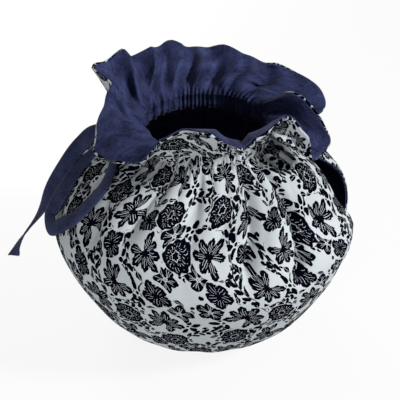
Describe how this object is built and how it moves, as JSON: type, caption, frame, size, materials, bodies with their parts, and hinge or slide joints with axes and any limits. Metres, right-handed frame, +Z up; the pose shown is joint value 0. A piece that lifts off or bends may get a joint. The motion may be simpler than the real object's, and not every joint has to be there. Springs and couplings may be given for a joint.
{
  "type": "tea cosy",
  "caption": "Gathered cloth tea cosy in floral print with plain navy lining, frilled neck, slits for spout and handle, and a tie in a half bow.",
  "frame": {"origin": "middle of the footprint of the whole, tie included, at the height the hem rests at", "axes": "+Z up; +X towards the slit for the spout, with the tie and the slit for the handle along -X; -Y towards the front"},
  "size_m": [0.2402, 0.206, 0.1853],
  "materials": {
    "printed_cotton": "matt plain weave, navy floral print on white",
    "navy_lining": "matt plain weave, plain navy",
    "navy_tie": "matt folded cotton tape, dark navy"
  },
  "bodies": {
    "root": {"outer_front": "printed_cotton", "outer_back": "printed_cotton", "lining_front": "navy_lining", "lining_back": "navy_lining", "tie_knot": "navy_tie", "tie_loop": "navy_tie", "tie_tail": "navy_tie"}
  },
  "joints": []
}
